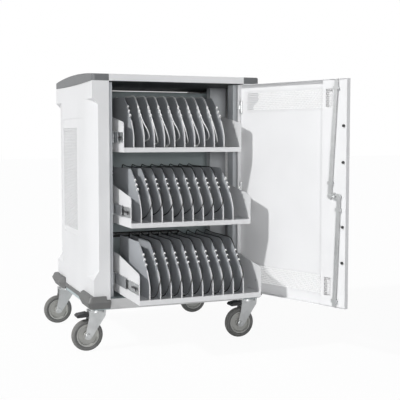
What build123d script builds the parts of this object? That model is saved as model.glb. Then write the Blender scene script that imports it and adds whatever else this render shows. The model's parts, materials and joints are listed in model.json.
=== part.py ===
from build123d import *
from math import radians, tan
import os

os.makedirs("parts", exist_ok=True)

# Charging trolley for tablets and small laptops, in millimetres. While a piece is made, the
# cabinet stands centred on the origin with the floor at height zero: X to the right, Y to the
# back, Z up. The last step moves everything so that the origin is the middle of the floor area
# that the trolley covers with its door open and its trays drawn out, as it is drawn here.

# Cabinet
cabinet_width = 695.0
cabinet_depth = 650.0
cabinet_height = 1076.0
sheet = 1.5
seat_gap = 0.1
running_gap = 0.4
side_foot = 193.0
base_foot = 167.0
floor_level = 208.0
ceiling_drop = 28.0
cap_height = 26.0
cap_arch = 13.0
cap_bow = 4.5
cap_proud = 2.0
cap_rail_width = 38.0
front_flange = 66.0
jamb_return = 20.0

# Large stopped rounding of the cabinet's four upright corners
relief_width = 22.0
relief_run = 140.0
relief_foot_rise = 90.0
relief_head_drop = 93.0
relief_foot_slope = 35.0
relief_head_slope = 23.0

# Perforated windows
side_vent_front_margin = 200.0
side_vent_rear_margin = 149.0
side_vent_foot_margin = 237.0
side_vent_head_margin = 165.0
side_vent_corner = 8.0
vent_overlap = 8.0
vent_sheet = 1.0
door_vent_height = 67.0
door_vent_foot_margin = 41.0
door_vent_head_margin = 35.0
door_vent_margin = 40.0

# Uprights, bulkhead and telescopic runners
upright_clearance = 13.0
upright_reach = 74.0
front_upright_inset = 50.0
front_upright_width = 53.0
rear_upright_inset = 152.0
rear_upright_width = 40.0
rear_compartment = 197.0
bulkhead_head_gap = 17.0
bulkhead_fold = 12.0
slot_length = 320.0
slot_height = 12.0
slot_lip = 5.0
slot_above_tray = 181.0
runner_height = 45.0
runner_inset = 4.0
runner_above_tray = 58.0
runner_sheet = 1.5

# Trays
tray_side_clearance = 38.5
tray_front_inset = 35.0
tray_rear_clearance = 16.5
bottom_tray_rise = 17.0
top_tray_drop = 271.0
middle_tray_drop = 4.0
tray_lip = 18.0
tray_front_wall = 98.0
tray_corner_run = 14.0
tray_corner_rise = 18.0
tray_slope_run = 285.0
tray_wall_height = 155.0
tray_rear_wall = 60.0
trays_drawn_out = {"top": 98.0, "middle": 189.0, "bottom": 288.0}

# Dividers of a tray
divider_pitch = 41.4
right_bay = 73.0
least_left_bay = 36.0
divider_inset = 2.0
divider_sheet = 1.5
divider_foot = 6.0
divider_foot_start = 30.0
divider_height = 198.0
divider_front_rise = 43.0
divider_rear_gap = 13.0
divider_shoulder = 135.0
divider_lean = (12.0, 42.0)
divider_brow = (66.0, 115.0)

# Charging leads: one along each divider, through three clips on its curved front edge
lead_diameter = 4.0
clip_shares = (0.5, 0.7)
clip_count = 3
clip_stand_off = 4.0
clip_length = 8.0
clip_width = 8.0
clip_thickness = 10.5
clip_grip = 3.0
clip_bore = 5.2
comb_height = 14.0
comb_thickness = 8.0
comb_grip = 6.0
plug_width = 9.0
plug_thickness = 5.0
plug_length = 17.0
plug_tip = (6.8, 1.8, 7.0)

# Doors
door_gap = 2.5
door_depth = 18.0
door_foot_gap = 3.0
door_open = 110.4
hinge_side_inset = 8.7
hinge_inset = 3.5
hinge_end_margin = 92.0
knuckle_radius = 4.0
hinge_pin_radius = 2.0
knuckle_height = 50.0
stiffener_width = 116.5
stiffener_window_margins = (100.5, 68.5)

# Lock of the front door
lock_inset = 52.5
lock_drop = 8.0
cam_throw = 21.0
cam_thickness = 3.0
spindle_radius = 6.0
rod_width = 15.0
rod_thickness = 3.0
rod_end_inset = 47.5
upper_rod_margin = 8.0
lower_rod_margin = 11.0
handle_length = 101.0
handle_width = 24.0
handle_proud = 19.0
buffer_inset = 15.5
buffer_radius = 5.0
buffer_height = 5.0
buffers_from_lock = (256.0, 124.0, -110.0, -241.0)
guide_end_margins = (36.0, 28.0)
guide_from_lock = 48.0

# Casters
caster_side_inset = 22.5
caster_end_inset = 53.0
wheel_radius = 62.5
wheel_width = 32.0
wheel_core_radius = 45.0
caster_trail = 38.0
caster_head_radius = 34.0
fork_sheet = 3.0
fork_top = 161.0
axle_radius = 5.0

# Corner bumpers of the base
bumper_side_proud = 27.5
bumper_front_proud = 20.0
bumper_foot = 172.0
bumper_crease = 200.0
bumper_head = 221.0
bumper_side_run = 160.0
bumper_inner_end = 284.0
bumper_notch = 300.0
bumper_notch_level = 206.0
trim_foot = 184.0
trim_head = 200.0
trim_proud = 5.0

half_width = cabinet_width / 2
half_depth = cabinet_depth / 2
opening_half = half_width - front_flange
panel_head = cabinet_height - cap_height
ceiling_level = cabinet_height - ceiling_drop
door_middle = (floor_level + ceiling_level) / 2
relief_foot = side_foot + relief_foot_rise
relief_head = cabinet_height - relief_head_drop

side_vent_front = -half_depth + side_vent_front_margin
side_vent_rear = half_depth - side_vent_rear_margin
side_vent_foot = side_foot + side_vent_foot_margin
side_vent_head = cabinet_height - side_vent_head_margin

bulkhead_rear = half_depth - rear_compartment
bulkhead_head = ceiling_level - bulkhead_head_gap
tray_half_width = opening_half - tray_side_clearance
upright_face = tray_half_width + upright_clearance
front_upright = (-half_depth + front_upright_inset, front_upright_width)
rear_upright = (bulkhead_rear - rear_upright_inset, rear_upright_width)
tray_closed_front = -half_depth + tray_front_inset
tray_depth = bulkhead_rear - sheet - tray_rear_clearance - tray_closed_front
runner_length = tray_depth
runner_front = tray_closed_front + runner_inset
bottom_tray_foot = floor_level + bottom_tray_rise
top_tray_foot = ceiling_level - top_tray_drop
tray_feet = {
    "top": top_tray_foot,
    "middle": (bottom_tray_foot + top_tray_foot) / 2 - middle_tray_drop,
    "bottom": bottom_tray_foot,
}
trays = {name: (foot, trays_drawn_out[name]) for name, foot in tray_feet.items()}
last_divider = tray_half_width - right_bay
divider_count = 1 + int((last_divider + tray_half_width - least_left_bay) / divider_pitch)
divider_back = tray_depth - divider_inset - divider_rear_gap

hinge_x = opening_half - hinge_side_inset
hinge_y = -half_depth + hinge_inset
hinge_heights = (floor_level + hinge_end_margin, door_middle, ceiling_level - hinge_end_margin)
door_right = opening_half - door_gap
door_left = -opening_half + door_gap + 0.5
door_foot = floor_level + door_foot_gap
door_head = ceiling_level - door_foot_gap
door_inner = -half_depth + door_depth
door_vent_low = door_foot + door_vent_foot_margin
door_vent_high = door_head - door_vent_head_margin - door_vent_height
stiffener_hinge_side = -opening_half + stiffener_width
stiffener_window = tuple(-opening_half + margin for margin in stiffener_window_margins)
lock_x = -opening_half + lock_inset
lock_z = door_middle - lock_drop
rod_end_x = -opening_half + rod_end_inset
upper_rod_end = door_head - upper_rod_margin
lower_rod_end = door_foot + lower_rod_margin
buffer_x = -opening_half + buffer_inset
buffer_heights = tuple(lock_z + rise for rise in buffers_from_lock)
caster_x = half_width - caster_side_inset
caster_y = half_depth - caster_end_inset

pieces = {}


def keep(name, part):
    """Files a finished piece under its name."""
    part.label = name
    pieces[name] = part


def block(low, high, mode=Mode.ADD):
    """A box in the current part between two corners."""
    with Locations(tuple((a + b) / 2 for a, b in zip(low, high))):
        Box(*(b - a for a, b in zip(low, high)), mode=mode)


def mirrored(part, plane):
    """A copy of a part on the other side of a plane."""
    with BuildPart() as copy:
        mirror(part, about=plane)
    return copy.part


# Sheet-metal cabinet


def corner_relief(inset):
    """What the stopped rounding takes off the front left corner of a wall set in by inset."""
    radius = (relief_width ** 2 + relief_run ** 2) / (2 * relief_width)
    reach = 10.0
    left = -half_width - reach
    right = -half_width + relief_width + reach

    def line_height(x, level, rise):
        return level + rise * (x + half_width - inset) / relief_width

    with BuildPart() as cutter:
        with BuildSketch(Plane.XY.offset(relief_foot - relief_foot_slope)):
            with Locations((left, -half_depth - reach)):
                Rectangle(right - left, relief_run + reach, align=(Align.MIN, Align.MIN))
            with Locations((-half_width + radius, -half_depth + relief_run)):
                Circle(radius - inset, mode=Mode.SUBTRACT)
        extrude(amount=relief_head - relief_foot + 2 * relief_foot_slope)
        with BuildSketch(Plane.XZ):
            Polygon(
                (left, line_height(left, relief_foot, relief_foot_slope)),
                (right, line_height(right, relief_foot, relief_foot_slope)),
                (right, line_height(right, relief_head, -relief_head_slope)),
                (left, line_height(left, relief_head, -relief_head_slope)),
                align=None,
            )
        extrude(amount=cabinet_depth, both=True, mode=Mode.INTERSECT)
    return cutter.part


def wall_column(inset):
    """The left end of the cabinet as a solid column, set in from the skin by inset."""
    relief = corner_relief(inset)
    with BuildPart() as column:
        block(
            (-half_width + inset, -half_depth + inset, side_foot),
            (-opening_half - inset, half_depth - inset, panel_head),
        )
        add(relief, mode=Mode.SUBTRACT)
        mirror(relief, about=Plane.XZ, mode=Mode.SUBTRACT)
    return column.part


with BuildPart() as left_side_panel:
    add(wall_column(0))
    add(wall_column(sheet), mode=Mode.SUBTRACT)
    block(
        (-opening_half - 2 * sheet, -half_depth + jamb_return, side_foot),
        (-opening_half + sheet, half_depth - jamb_return, panel_head),
        mode=Mode.SUBTRACT,
    )
    for foot, head in ((side_foot, floor_level + seat_gap), (ceiling_level - seat_gap, panel_head)):
        block(
            (-opening_half - 2 * sheet, -half_depth + sheet, foot),
            (-opening_half + sheet, half_depth - sheet, head),
            mode=Mode.SUBTRACT,
        )
    with BuildSketch(Plane.YZ.offset(-half_width - sheet)):
        with Locations(((side_vent_front + side_vent_rear) / 2, (side_vent_foot + side_vent_head) / 2)):
            RectangleRounded(side_vent_rear - side_vent_front, side_vent_head - side_vent_foot, side_vent_corner)
    extrude(amount=3 * sheet, mode=Mode.SUBTRACT)
keep("left_side_panel", left_side_panel.part)

inlet_y = half_depth - 93.0
inlet_z = floor_level + 38.0
inlet_width = 48.0
inlet_height = 28.0
with BuildPart() as right_side_panel:
    mirror(left_side_panel.part, about=Plane.YZ)
    block(
        (half_width - 3 * sheet, inlet_y - inlet_width / 2, inlet_z - inlet_height / 2),
        (half_width + sheet, inlet_y + inlet_width / 2, inlet_z + inlet_height / 2),
        mode=Mode.SUBTRACT,
    )
keep("right_side_panel", right_side_panel.part)

with BuildPart() as side_vent_sheets:
    for side in (-1, 1):
        faces = [side * (half_width - sheet - seat_gap - depth) for depth in (0, vent_sheet)]
        block(
            (min(faces), side_vent_front - vent_overlap, side_vent_foot - vent_overlap),
            (max(faces), side_vent_rear + vent_overlap, side_vent_head + vent_overlap),
        )
keep("side_vent_sheets", side_vent_sheets.part)

pan_half_width = half_width - sheet - seat_gap
pan_half_depth = half_depth - sheet - seat_gap
rail_width = 96.0
rod_slot_y = -half_depth + door_depth + 6.0
with BuildPart() as base_pan:
    block((-pan_half_width, -pan_half_depth, base_foot), (pan_half_width, pan_half_depth, floor_level))
    block(
        (-pan_half_width + sheet, -pan_half_depth + sheet, base_foot),
        (pan_half_width - sheet, pan_half_depth - sheet, floor_level - sheet),
        mode=Mode.SUBTRACT,
    )
    for side in (-1, 1):
        block(
            (-pan_half_width, side * caster_y - rail_width / 2, base_foot),
            (pan_half_width, side * caster_y + rail_width / 2, floor_level),
        )
        block(
            (-pan_half_width + sheet, side * caster_y - rail_width / 2 + 2 * sheet, base_foot + 2 * sheet),
            (pan_half_width - sheet, side * caster_y + rail_width / 2 - 2 * sheet, floor_level - sheet),
            mode=Mode.SUBTRACT,
        )
    with Locations((rod_end_x, rod_slot_y, floor_level)):
        Box(34, 12, 4 * sheet, mode=Mode.SUBTRACT)
keep("base_pan", base_pan.part)

with BuildPart() as base_fascias:
    with BuildSketch(Plane.XZ.offset(half_depth - sheet)):
        with Locations((0, (base_foot + floor_level) / 2)):
            RectangleRounded(2 * opening_half - 2 * seat_gap, floor_level - base_foot, 2)
    extrude(amount=sheet)
    mirror(about=Plane.XZ)
keep("base_fascias", base_fascias.part)

with BuildPart() as ceiling_panel:
    block((-pan_half_width, -pan_half_depth, ceiling_level), (pan_half_width, pan_half_depth, panel_head - 0.5))
    with Locations((rod_end_x - 2, rod_slot_y, ceiling_level)):
        Box(36, 12, 8 * sheet, mode=Mode.SUBTRACT)
keep("ceiling_panel", ceiling_panel.part)

cap_corner_depth = 40.0
with BuildPart() as top_panel:
    with BuildSketch(Plane.XY.offset(panel_head)):
        between_corners = cabinet_depth - 2 * (cap_corner_depth + seat_gap)
        Rectangle(2 * (half_width - cap_rail_width - seat_gap), between_corners)
        Rectangle(2 * (opening_half - seat_gap), cabinet_depth)
    extrude(amount=cap_height)
    offset(amount=-sheet, openings=top_panel.faces().sort_by(Axis.Z)[0])
    fillet(top_panel.faces().sort_by(Axis.Z)[-1].edges().filter_by(Axis.X).group_by(Axis.Y)[0], 1.2)
keep("top_panel", top_panel.part)


def top_cap():
    """Moulded cap along the left upper edge: an arched rail with a block at each corner."""
    outer = -half_width - cap_proud
    with BuildPart() as cap:
        with BuildSketch(Plane.YZ.offset(outer)):
            with BuildLine():
                ThreePointArc(
                    (-half_depth, cabinet_height), (0, cabinet_height + cap_arch), (half_depth, cabinet_height)
                )
                Line((half_depth, cabinet_height), (half_depth, panel_head))
                ThreePointArc((half_depth, panel_head), (0, panel_head - cap_bow), (-half_depth, panel_head))
                Line((-half_depth, panel_head), (-half_depth, cabinet_height))
            make_face()
        extrude(amount=front_flange + cap_proud)
        block(
            (-half_width + cap_rail_width, -half_depth + cap_corner_depth, panel_head - 2 * cap_bow),
            (half_width, half_depth - cap_corner_depth, cabinet_height + 2 * cap_arch),
            mode=Mode.SUBTRACT,
        )
        uprights_of_cap = cap.edges().filter_by(Axis.Z).group_by(Axis.X)[0]
        fillet(uprights_of_cap, 14)
        fillet(cap.edges().group_by(Axis.Z)[-1].sort_by(Axis.X)[0:1], 7)
        block(
            (-half_width - seat_gap, -half_depth - 1, panel_head - 2 * cap_bow),
            (half_width, half_depth + 1, panel_head),
            mode=Mode.SUBTRACT,
        )
    return cap.part


left_cap = top_cap()
keep("left_top_cap", left_cap)
keep("right_top_cap", mirrored(left_cap, Plane.YZ))


def bumper_plan(level, inset):
    """Section of the front left bumper at a level, with its faces set in by inset."""
    side = -half_width - bumper_side_proud + inset
    front = -half_depth - bumper_front_proud + inset
    rear = -half_depth + bumper_side_run
    corner = 14.0
    ramp = 24.0
    with BuildSketch(Plane.XY.offset(level)) as plan:
        with BuildLine():
            Polyline(
                (-half_width - seat_gap, -half_depth - seat_gap),
                (-half_width - seat_gap, rear),
                (-half_width - trim_proud, rear),
                (side, rear - ramp),
                (side, front + corner),
            )
            TangentArc((side, front + corner), (side + corner, front), tangent=(0, -1))
            Polyline(
                (side + corner, front),
                (-bumper_inner_end, front),
                (-bumper_inner_end, -half_depth - seat_gap),
                (-half_width - seat_gap, -half_depth - seat_gap),
            )
        make_face()
    return plan.sketch


def corner_bumper():
    """Moulded bumper round the front left corner of the base, creased along its middle."""
    levels = ((bumper_foot, 13.0), (bumper_crease, 0.0), (bumper_head, 9.0))
    with BuildPart() as bumper:
        loft([bumper_plan(level, inset) for level, inset in levels], ruled=True)
        block(
            (-bumper_notch, -half_depth - 2 * bumper_front_proud, bumper_notch_level),
            (0, -half_depth, bumper_head + 1),
            mode=Mode.SUBTRACT,
        )
    return bumper.part


front_left_bumper = corner_bumper()
side_trim_half = half_depth - bumper_side_run - 1.0
with BuildPart() as base_bumpers:
    add(front_left_bumper)
    block(
        (-half_width - trim_proud, -side_trim_half, trim_foot),
        (-half_width - seat_gap, side_trim_half, trim_head),
    )
    mirror(front_left_bumper, about=Plane.XZ)
    mirror(about=Plane.YZ)
keep("base_bumpers", base_bumpers.part)

with BuildPart() as uprights:
    for side in (-1, 1):
        for front, width in (front_upright, rear_upright):
            inner = side * upright_face
            outer = side * (upright_face + upright_reach)
            low, high = min(inner, outer), max(inner, outer)
            block((low, front, floor_level + seat_gap), (high, front + width, ceiling_level - seat_gap))
            hollow_low = low if side > 0 else low - 1
            hollow_high = high + 1 if side > 0 else high
            shift = sheet if side > 0 else 0
            block(
                (hollow_low + shift, front + sheet, floor_level),
                (hollow_high - (sheet - shift), front + width - sheet, ceiling_level),
                mode=Mode.SUBTRACT,
            )
keep("uprights", uprights.part)

bulkhead_half_width = pan_half_width - vent_sheet - seat_gap
slot_levels = [foot + slot_above_tray for foot, pulled in trays.values()]
with BuildPart() as bulkhead:
    block(
        (-bulkhead_half_width, bulkhead_rear - sheet, floor_level + seat_gap),
        (bulkhead_half_width, bulkhead_rear, bulkhead_head),
    )
    block(
        (-bulkhead_half_width, bulkhead_rear - bulkhead_fold, bulkhead_head - sheet),
        (bulkhead_half_width, bulkhead_rear, bulkhead_head),
    )
    for level in slot_levels:
        with Locations((0, bulkhead_rear, level)):
            Box(slot_length, 4 * sheet, slot_height, mode=Mode.SUBTRACT)
keep("bulkhead", bulkhead.part)

with BuildPart() as slot_trims:
    for level in slot_levels:
        with BuildSketch(Plane.XZ.offset(-bulkhead_rear + sheet + seat_gap)):
            with Locations((0, level)):
                SlotOverall(slot_length + 2 * slot_lip, slot_height + 2 * slot_lip)
                Rectangle(slot_length - 4, slot_height - 4, mode=Mode.SUBTRACT)
        extrude(amount=2.5)
keep("slot_trims", slot_trims.part)

strip_length = divider_count * divider_pitch + 26.0
strip_height = 44.0
strip_depth = 38.0
socket_size = 24.0
with BuildPart() as power_strips:
    for level in slot_levels:
        middle = level - 2 * strip_height
        block(
            (-strip_length / 2, bulkhead_rear + seat_gap, middle - strip_height / 2),
            (strip_length / 2, bulkhead_rear + strip_depth, middle + strip_height / 2),
        )
        with Locations((0, bulkhead_rear + strip_depth, middle)):
            with GridLocations(divider_pitch, 1, divider_count, 1):
                Box(socket_size, 10, socket_size, mode=Mode.SUBTRACT)
keep("power_strips", power_strips.part)

with BuildPart() as power_inlet:
    block(
        (half_width + seat_gap, inlet_y - inlet_width / 2 - 6, inlet_z - inlet_height / 2 - 4),
        (half_width + 3, inlet_y + inlet_width / 2 + 6, inlet_z + inlet_height / 2 + 4),
    )
    block(
        (half_width - 30, inlet_y - inlet_width / 2 + 1, inlet_z - inlet_height / 2 + 1),
        (half_width + 1, inlet_y + inlet_width / 2 - 1, inlet_z + inlet_height / 2 - 1),
    )
    block(
        (half_width - 18, inlet_y - inlet_width / 2 + 10, inlet_z - inlet_height / 2 + 5),
        (half_width + 4, inlet_y + inlet_width / 2 - 10, inlet_z + inlet_height / 2 - 5),
        mode=Mode.SUBTRACT,
    )
    with Locations(*((half_width - 12, inlet_y + step, inlet_z) for step in (-8, 0, 8))):
        Box(13, 2, 6)
keep("power_inlet", power_inlet.part)


# Telescopic runners: three nested channels on each side of each tray


def channel(web_x, lip_x, half_height, front, level):
    """A channel on the right side, with its web at web_x and its lips reaching to lip_x."""
    turn = 1 if lip_x > web_x else -1
    with BuildPart() as rail:
        with BuildSketch(Plane.XZ.offset(-front)):
            with BuildLine():
                Polyline(
                    (lip_x, level + half_height),
                    (web_x, level + half_height),
                    (web_x, level - half_height),
                    (lip_x, level - half_height),
                    (lip_x, level - half_height + runner_sheet),
                    (web_x + turn * runner_sheet, level - half_height + runner_sheet),
                    (web_x + turn * runner_sheet, level + half_height - runner_sheet),
                    (lip_x, level + half_height - runner_sheet),
                    close=True,
                )
            make_face()
        extrude(amount=-runner_length)
    return rail.part


def both_sides(part):
    """A right-hand piece with its left-hand twin."""
    with BuildPart() as pair:
        add(part)
        mirror(part, about=Plane.YZ)
    return pair.part


runner_back = upright_face - 0.3
runner_nest = runner_sheet + running_gap
outer_half = runner_height / 2
middle_half = outer_half - runner_nest
inner_half = middle_half - runner_nest
outer_web = runner_back
middle_web = outer_web - runner_sheet - 3 * running_gap - 2.0
inner_web = tray_half_width + 0.05

with BuildPart() as slide_outers:
    for foot, pulled in trays.values():
        rail = channel(outer_web, tray_half_width + 2.5, outer_half, runner_front, foot + runner_above_tray)
        add(both_sides(rail))
keep("slide_outers", slide_outers.part)

for name, (foot, pulled) in trays.items():
    level = foot + runner_above_tray
    middle_rail = channel(middle_web, tray_half_width + 2.0, middle_half, runner_front - pulled / 2, level)
    keep(f"{name}_slide_middles", both_sides(middle_rail))
    inner_rail = channel(inner_web, middle_web - runner_sheet - 1.0, inner_half, runner_front - pulled, level)
    keep(f"{name}_slide_inners", both_sides(inner_rail))


# Trays


def tray_pan(foot, front):
    """Folded tray: floor with a hem at the front, two sloping side walls and a low rear wall."""
    rear = front + tray_depth
    corner_y = front + tray_corner_run
    corner_z = foot + tray_front_wall + tray_corner_rise
    slope_end = (front + tray_slope_run, foot + tray_wall_height)
    inner_half_width = tray_half_width - sheet
    floor_top = foot + tray_lip
    with BuildPart() as pan:
        with BuildSketch(Plane.YZ.offset(-tray_half_width)):
            with BuildLine():
                Polyline(
                    (corner_y, corner_z),
                    slope_end,
                    (rear, foot + tray_wall_height),
                    (rear, foot),
                    (front, foot),
                    (front, foot + tray_front_wall),
                )
                ThreePointArc(
                    (front, foot + tray_front_wall),
                    (front + 0.25 * tray_corner_run, foot + tray_front_wall + 0.7 * tray_corner_rise),
                    (corner_y, corner_z),
                )
            make_face()
        extrude(amount=2 * tray_half_width)
        block(
            (-inner_half_width, front - 1, floor_top),
            (inner_half_width, rear - sheet, foot + 2 * tray_wall_height),
            mode=Mode.SUBTRACT,
        )
        block(
            (-inner_half_width, rear - 2 * sheet, foot + tray_rear_wall),
            (inner_half_width, rear + 1, foot + 2 * tray_wall_height),
            mode=Mode.SUBTRACT,
        )
        block(
            (-inner_half_width, front + sheet, foot - 1),
            (inner_half_width, rear + 1, floor_top - sheet),
            mode=Mode.SUBTRACT,
        )
    return pan.part


def divider_edge(front, floor_top):
    """The four control points of a divider's curved front edge, as pairs along Y and Z."""
    crook = floor_top + divider_front_rise
    return (
        (front, crook),
        (front + divider_lean[0], crook + divider_lean[1]),
        (front + divider_brow[0], crook + divider_brow[1]),
        (front + divider_shoulder, floor_top + divider_height),
    )


def divider_outline(x, front, floor_top):
    """Side view of a divider: upright at the front, then curved back up to a level top edge."""
    top = floor_top + divider_height
    with BuildSketch(Plane.YZ.offset(x)) as outline:
        with BuildLine():
            Line((front, floor_top), (front, floor_top + divider_front_rise))
            Bezier(*divider_edge(front, floor_top))
            Polyline(
                (front + divider_shoulder, top),
                (front + divider_back, top),
                (front + divider_back, floor_top),
                (front, floor_top),
            )
        make_face()
    return outline.sketch


divider_places = [last_divider - divider_pitch * k for k in range(divider_count)]


def tray_dividers(foot, front):
    """A tray's row of upright plates, each with a narrow foot."""
    floor_top = foot + tray_lip
    with BuildPart() as row:
        for x in divider_places:
            outline = divider_outline(x - divider_sheet / 2, front + divider_inset, floor_top)
            extrude(outline, amount=divider_sheet)
            block(
                (x - divider_sheet / 2, front + divider_foot_start, floor_top),
                (x + divider_foot, front + divider_inset + divider_back, floor_top + divider_sheet),
            )
    return row.part


for name, (foot, pulled) in trays.items():
    front = tray_closed_front - pulled
    keep(f"{name}_tray", tray_pan(foot, front))
    keep(f"{name}_dividers", tray_dividers(foot, front))


# Charging leads. A lead's points are (sideways from its divider's middle, back from the divider's
# front edge, up from the tray's floor). It leaves the comb on the tray's rear wall, runs along the
# divider's top edge and through the clips, and its tail hangs or lies with its plug in a bay.

lead_body = [
    (0, 397.25, 50),
    (0, 397.25, 82),
    (2, 400, 128),
    (0, 400.5, 174),
    (-1, 389, 210),
    (0.5, 348, 202),
    (-0.8, 292, 200.9),
    (0.8, 236, 201.7),
    (-0.6, 180, 200.9),
    (0.3, 134, 203),
    (0, 106, 189.5),
    (0, 81, 164),
    (0, 37, 117.5),
]
lead_tails = {
    "top": [
        [(4, 19, 91), (11, 8, 67), (18, 7, 44), (25, 14, 25), (29, 30, 11), (30, 50, 7)],
        [(3, 20, 90), (7, 9, 66), (13, 10, 43), (21, 21, 26), (27, 40, 17), (29, 62, 15)],
        [(5, 18, 92), (14, 8, 72), (23, 12, 53), (29, 26, 38), (30, 46, 29), (27, 68, 26)],
    ],
    "middle": [
        [(3, 19, 91), (3, 6, 71), (-5, 2, 55), (-13, 8, 39), (-20, 22, 28), (-24, 42, 22)],
        [(2, 19, 91), (1, 5, 70), (-8, 3, 52), (-17, 11, 38), (-23, 27, 29), (-25, 48, 26)],
        [(4, 20, 90), (3, 6, 69), (-6, 1, 53), (-14, 3, 34), (-22, 14, 20), (-27, 33, 14)],
    ],
    "bottom": [
        [
            *((3, 19, 91), (2, 5, 70), (-6, 2, 53), (-11, 1, 33)),
            *((-15, 7, 14), (-25, 20, 5), (-31, 38, 3.4), (-29, 58, 3.4)),
        ],
        [
            *((2, 19, 91), (0, 4, 69), (-8, 2, 50), (-14, 5, 28)),
            *((-21, 16, 11), (-28, 33, 4.5), (-28, 54, 3.4), (-20, 73, 3.4)),
        ],
        [
            *((4, 20, 90), (3, 6, 69), (-6, 1, 52), (-10, 0, 31)),
            *((-17, 3, 13), (-27, 12, 4.5), (-31, 29, 3.4), (-26, 48, 3.4)),
        ],
    ],
}
leads_on = {"top": range(1, 9), "middle": range(1, 9), "bottom": range(0, 9)}


def bend_radii(points):
    """The radius of each corner of a route: as large as its two runs allow."""
    radii = []
    for before, corner, after in zip(points, points[1:], points[2:]):
        turn = (corner - before).get_angle(after - corner)
        shorter = min((corner - before).length, (after - corner).length)
        radii.append(0.45 * shorter / tan(radians(turn / 2)))
    return radii


def lead_tube(points):
    """A lead along its points: straight runs joined by arcs."""
    with BuildPart() as tube:
        with BuildLine() as route:
            FilletPolyline(*points, radius=bend_radii(points))
        with BuildSketch(Plane(origin=points[0], z_dir=points[1] - points[0])):
            Circle(lead_diameter / 2)
        sweep(path=route.line)
    return tube.part


def lead_plug(end, direction):
    """Moulded plug with a tapered neck at the lead and a flat metal tip."""
    seat = Plane(origin=end, x_dir=Vector(0, 0, 1).cross(direction), z_dir=direction)
    neck = 0.4 * plug_length
    with BuildPart() as plug:
        with BuildSketch(seat):
            Circle(lead_diameter / 2 + 0.4)
        with BuildSketch(seat.offset(neck)):
            RectangleRounded(plug_width, plug_thickness, 0.45 * plug_thickness)
        loft()
        with BuildSketch(seat.offset(neck)):
            RectangleRounded(plug_width, plug_thickness, 0.45 * plug_thickness)
        extrude(amount=plug_length - neck)
        with BuildSketch(seat.offset(plug_length)):
            Rectangle(plug_tip[0], plug_tip[1])
        extrude(amount=plug_tip[2])
    return plug.part


def edge_point(share, x, front, floor_top):
    """The point at a share of the way along a divider's curved edge."""
    a, b, c, d = (Vector(x, *point) for point in divider_edge(front, floor_top))
    rest = 1 - share
    return a * rest ** 3 + b * (3 * rest ** 2 * share) + c * (3 * rest * share ** 2) + d * share ** 3


def lead_clips(x, front, floor_top):
    """The clips of one divider: split blocks that grip its edge and hold the lead in a bore."""
    first, last = (edge_point(share, x, front, floor_top) for share in clip_shares)
    along = (last - first).normalized()
    outward = Vector(1, 0, 0).cross(along)
    with BuildPart() as clips:
        for k in range(clip_count):
            middle = first + (last - first) * (k / (clip_count - 1)) + outward * clip_stand_off
            foot = middle - along * (clip_length / 2)
            with BuildSketch(Plane(origin=foot, x_dir=(-1, 0, 0), z_dir=along)):
                with Locations((0, clip_thickness / 2 - clip_stand_off - clip_grip)):
                    Rectangle(clip_width, clip_thickness)
                Circle(clip_bore / 2, mode=Mode.SUBTRACT)
                with Locations((0, -clip_stand_off - clip_grip + 1)):
                    Rectangle(divider_sheet + 2 * seat_gap, 2 * clip_grip + 2, mode=Mode.SUBTRACT)
            extrude(amount=clip_length)
    return clips.part


def lead_comb(foot, front):
    """Rubber strip pressed over the tray's rear wall, where the leads come up."""
    wall = front + tray_depth - sheet / 2
    head = foot + tray_rear_wall
    reach = comb_thickness / 2
    slit = sheet / 2 + seat_gap
    with BuildPart() as comb:
        block(
            (divider_places[-1] - plug_width, wall - reach, head - comb_grip),
            (divider_places[0] + plug_width, wall + reach, head - comb_grip + comb_height),
        )
        block(
            (-tray_half_width, wall - slit, head - 2 * comb_grip),
            (tray_half_width, wall + slit, head + seat_gap),
            mode=Mode.SUBTRACT,
        )
    return comb.part


def tray_leads(name, foot, front):
    """Everything of a tray's leads: comb, clips, leads and plugs."""
    floor_top = foot + tray_lip
    edge = front + divider_inset
    solids = list(lead_comb(foot, front).solids())
    tightest = []
    for k, x in enumerate(divider_places):
        solids += lead_clips(x, edge, floor_top).solids()
        if k in leads_on[name]:
            tails = lead_tails[name]
            places = lead_body + tails[k % len(tails)]
            points = [Vector(x + side, edge + back, floor_top + up) for side, back, up in places]
            solids.append(lead_tube(points).solid())
            solids.append(lead_plug(points[-1], (points[-1] - points[-2]).normalized()).solid())
            tightest.append(min(bend_radii(points)))
    print(f"{name} leads: tightest bend {min(tightest):.1f} mm on a lead of {lead_diameter} mm")
    return Compound(children=solids)


for name, (foot, pulled) in trays.items():
    keep(f"{name}_leads", tray_leads(name, foot, tray_closed_front - pulled))


# Doors: each is made closed, and the front one is then swung open about its hinge line


def door_shell(lock_place, lock_radius):
    """Folded door, a shallow pan on its inner side, with vent windows and hinge notches."""
    with BuildPart() as shell:
        block((door_left, -half_depth, door_foot), (door_right, door_inner, door_head))
        block(
            (door_left + sheet, -half_depth + sheet, door_foot + sheet),
            (door_right - sheet, door_inner + 1, door_head - sheet),
            mode=Mode.SUBTRACT,
        )
        for low in (door_vent_low, door_vent_high):
            block(
                (stiffener_window[1], -half_depth - 1, low),
                (door_right - door_vent_margin, -half_depth + 2 * sheet, low + door_vent_height),
                mode=Mode.SUBTRACT,
            )
        for middle in hinge_heights:
            block(
                (hinge_x - knuckle_radius - 0.6, -half_depth - 1, middle - knuckle_height / 2 - 0.5),
                (door_right + 1, hinge_y + knuckle_radius + 0.6, middle + knuckle_height / 2 + 0.5),
                mode=Mode.SUBTRACT,
            )
        with Locations(Location((lock_place, -half_depth, lock_z), (90, 0, 0))):
            Cylinder(lock_radius, 4 * sheet, mode=Mode.SUBTRACT)
    return shell.part


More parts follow.
